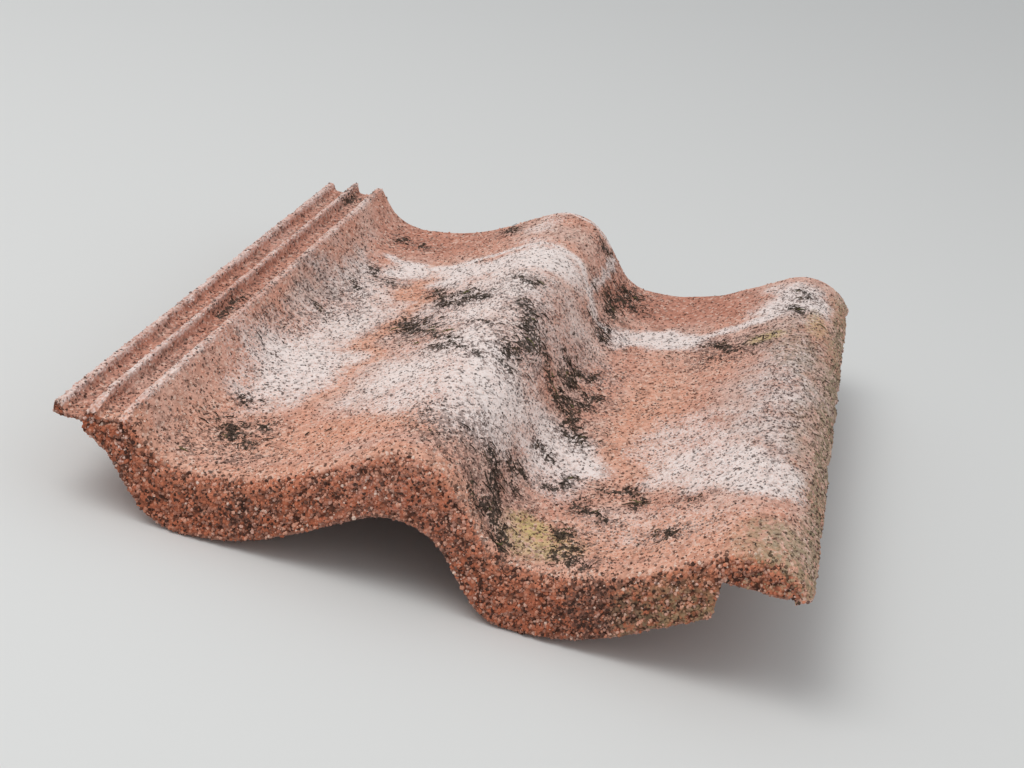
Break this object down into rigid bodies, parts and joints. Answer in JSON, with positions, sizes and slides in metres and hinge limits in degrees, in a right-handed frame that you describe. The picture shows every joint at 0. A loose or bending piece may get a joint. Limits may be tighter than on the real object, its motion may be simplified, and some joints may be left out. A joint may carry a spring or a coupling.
{
  "type": "interlocking concrete roof tile",
  "caption": "Double-wave roof tile with a ribbed underlap, a hollow cover roll, a thick nose and hanging nibs.",
  "frame": {"origin": "on the floor, under the middle of the tile's overall box", "axes": "+X from the underlap to the cover roll, +Y from the tail up to the head, +Z out of the weathered face"},
  "size_m": [0.332, 0.42, 0.067],
  "materials": {
    "weathered_concrete": "red-brown sand-faced concrete, weathered, with pale bloom, moss and lichen"
  },
  "bodies": {
    "root": {"roof_tile": "weathered_concrete"}
  },
  "joints": []
}
